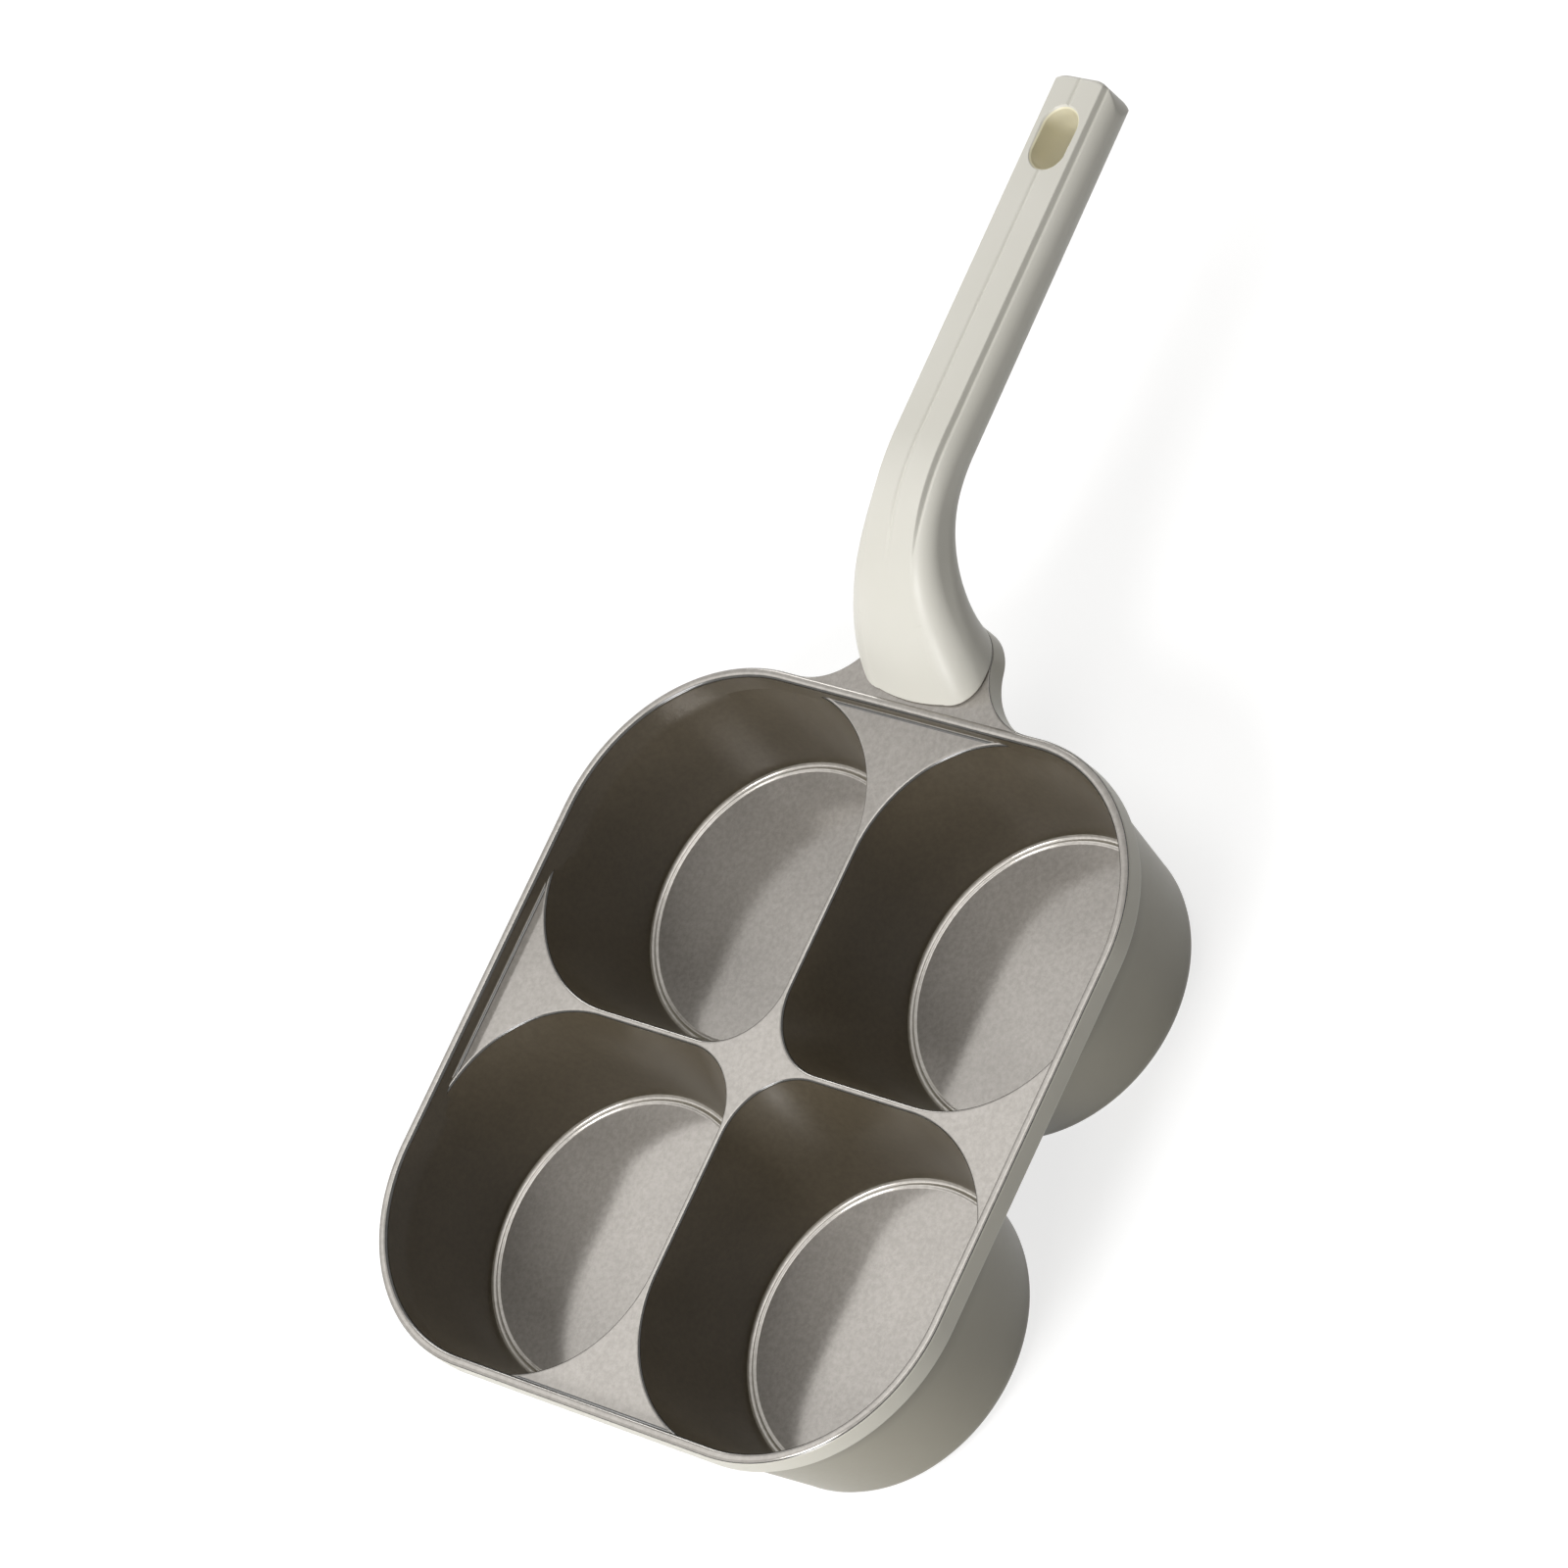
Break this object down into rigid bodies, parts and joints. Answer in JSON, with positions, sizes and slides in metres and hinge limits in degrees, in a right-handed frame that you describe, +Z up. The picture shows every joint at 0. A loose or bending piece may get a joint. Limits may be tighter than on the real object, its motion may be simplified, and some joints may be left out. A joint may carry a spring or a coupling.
{
  "type": "divided frying pan",
  "caption": "Cast pan with four deep round-bottomed cups under one rounded square rim, and a curved moulded handle with a hang hole",
  "frame": {"origin": "middle of the whole outline, pan and handle, on the plane that the four cup bottoms stand on", "axes": "+Z up; +Y along the handle, away from the pan; +X across the pan"},
  "size_m": [0.2, 0.378, 0.0902],
  "materials": {
    "coated_casting": "cast aluminium with a satin speckled non-stick coat inside and a warm grey enamel outside",
    "disc_steel": "brushed ferritic stainless steel",
    "handle_plastic": "satin cream phenolic plastic",
    "fastener_steel": "zinc-plated steel",
    "insert_brass": "turned brass"
  },
  "bodies": {
    "root": {"pan_body": "coated_casting", "base_disc_1": "disc_steel", "base_disc_2": "disc_steel", "base_disc_3": "disc_steel", "base_disc_4": "disc_steel", "handle": "handle_plastic", "handle_screw": "fastener_steel", "flat_washer": "fastener_steel", "spring_washer": "fastener_steel", "threaded_insert": "insert_brass"}
  },
  "joints": []
}
